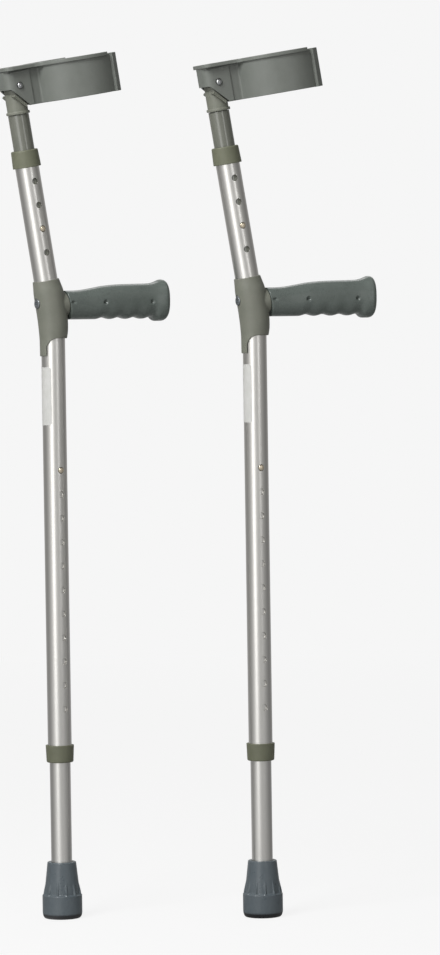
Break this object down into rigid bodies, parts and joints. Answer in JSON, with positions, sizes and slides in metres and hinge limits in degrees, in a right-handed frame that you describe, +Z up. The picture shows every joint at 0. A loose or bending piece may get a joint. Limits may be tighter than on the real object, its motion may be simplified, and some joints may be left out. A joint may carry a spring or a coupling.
{
  "type": "pair of forearm crutches",
  "caption": "Pair of height-adjustable forearm crutches with bent aluminium tubes, moulded handles, tilting cuffs and rubber ferrules.",
  "frame": {"origin": "centre of the left crutch's ferrule tread, on the floor", "axes": "+Z up along the lower tubes, +X from the left crutch towards the right one, +Y away from the viewer"},
  "size_m": [0.4043, 0.1367, 0.9223],
  "materials": {
    "aluminium": "satin anodised, drawn tube",
    "grey_plastic": "moulded grey olive nylon, satin",
    "collar_plastic": "moulded olive grey nylon, matt",
    "stem_coating": "grey plastic coating on the stem tube, semi gloss",
    "grip": "soft moulded grip, blue green grey, satin gloss",
    "ferrule_rubber": "moulded blue grey rubber",
    "steel": "bright plated steel",
    "brass": "brass coloured spring clip",
    "label": "blank white sticker"
  },
  "bodies": {
    "left_frame": {"left_main_tube": "aluminium", "left_handle_moulding": "grey_plastic", "left_handle_grip": "grip", "left_handle_bolt": "steel", "left_handle_nut": "steel", "left_label": "label", "left_leg_collar": "collar_plastic", "left_stem_collar": "collar_plastic"},
    "left_leg": {"left_leg_tube": "aluminium", "left_ferrule": "ferrule_rubber", "left_ferrule_washer": "steel"},
    "left_leg_button": {"left_leg_clip": "brass"},
    "left_stem": {"left_stem_tube": "stem_coating", "left_stem_head": "grey_plastic", "left_cuff_rivet": "steel"},
    "left_stem_button": {"left_stem_clip": "brass"},
    "left_cuff": {"left_cuff": "grey_plastic"},
    "right_frame": {"right_main_tube": "aluminium", "right_handle_moulding": "grey_plastic", "right_handle_grip": "grip", "right_handle_bolt": "steel", "right_handle_nut": "steel", "right_label": "label", "right_leg_collar": "collar_plastic", "right_stem_collar": "collar_plastic"},
    "right_leg": {"right_leg_tube": "aluminium", "right_ferrule": "ferrule_rubber", "right_ferrule_washer": "steel"},
    "right_leg_button": {"right_leg_clip": "brass"},
    "right_stem": {"right_stem_tube": "stem_coating", "right_stem_head": "grey_plastic", "right_cuff_rivet": "steel"},
    "right_stem_button": {"right_stem_clip": "brass"},
    "right_cuff": {"right_cuff": "grey_plastic"}
  },
  "joints": [
    {"name": "left_leg_slide", "type": "slide", "parent": "left_frame", "child": "left_leg", "axis": [0, 0, -1], "range_m": [0, 0.254]},
    {"name": "left_leg_button_press", "type": "slide", "parent": "left_leg", "child": "left_leg_button", "axis": [-0.515, 0.8572, 0], "range_m": [0, 0.003], "stiffness_N_per_m": 1500, "springref_m": -0.002, "deforming": ["left_leg_clip"]},
    {"name": "left_stem_slide", "type": "slide", "parent": "left_frame", "child": "left_stem", "axis": [-0.1429, -0.0859, 0.986], "range_m": [-0.0254, 0.0508]},
    {"name": "left_stem_button_press", "type": "slide", "parent": "left_stem", "child": "left_stem_button", "axis": [-0.515, 0.8572, 0], "range_m": [0, 0.003], "stiffness_N_per_m": 1500, "springref_m": -0.002, "deforming": ["left_stem_clip"]},
    {"name": "left_cuff_tilt", "type": "hinge", "parent": "left_stem", "child": "left_cuff", "pos_m": [-0.03631, -0.02182, 0.88444], "axis": [0.515, -0.8572, 0], "range_deg": [-4, 18]},
    {"name": "right_leg_slide", "type": "slide", "parent": "right_frame", "child": "right_leg", "axis": [0, 0, -1], "range_m": [0, 0.254]},
    {"name": "right_leg_button_press", "type": "slide", "parent": "right_leg", "child": "right_leg_button", "axis": [-0.3827, 0.9239, 0], "range_m": [0, 0.003], "stiffness_N_per_m": 1500, "springref_m": -0.002, "deforming": ["right_leg_clip"]},
    {"name": "right_stem_slide", "type": "slide", "parent": "right_frame", "child": "right_stem", "axis": [-0.1541, -0.0638, 0.986], "range_m": [-0.0254, 0.0508]},
    {"name": "right_stem_button_press", "type": "slide", "parent": "right_stem", "child": "right_stem_button", "axis": [-0.3827, 0.9239, 0], "range_m": [0, 0.003], "stiffness_N_per_m": 1500, "springref_m": -0.002, "deforming": ["right_stem_clip"]},
    {"name": "right_cuff_tilt", "type": "hinge", "parent": "right_stem", "child": "right_cuff", "pos_m": [0.17486, -0.02821, 0.88444], "axis": [0.3827, -0.9239, 0], "range_deg": [-4, 18]},
    {"name": "right_crutch_lift", "type": "slide", "parent": "left_frame", "child": "right_frame", "axis": [0, 0, 1], "range_m": [0, 0.3]}
  ]
}
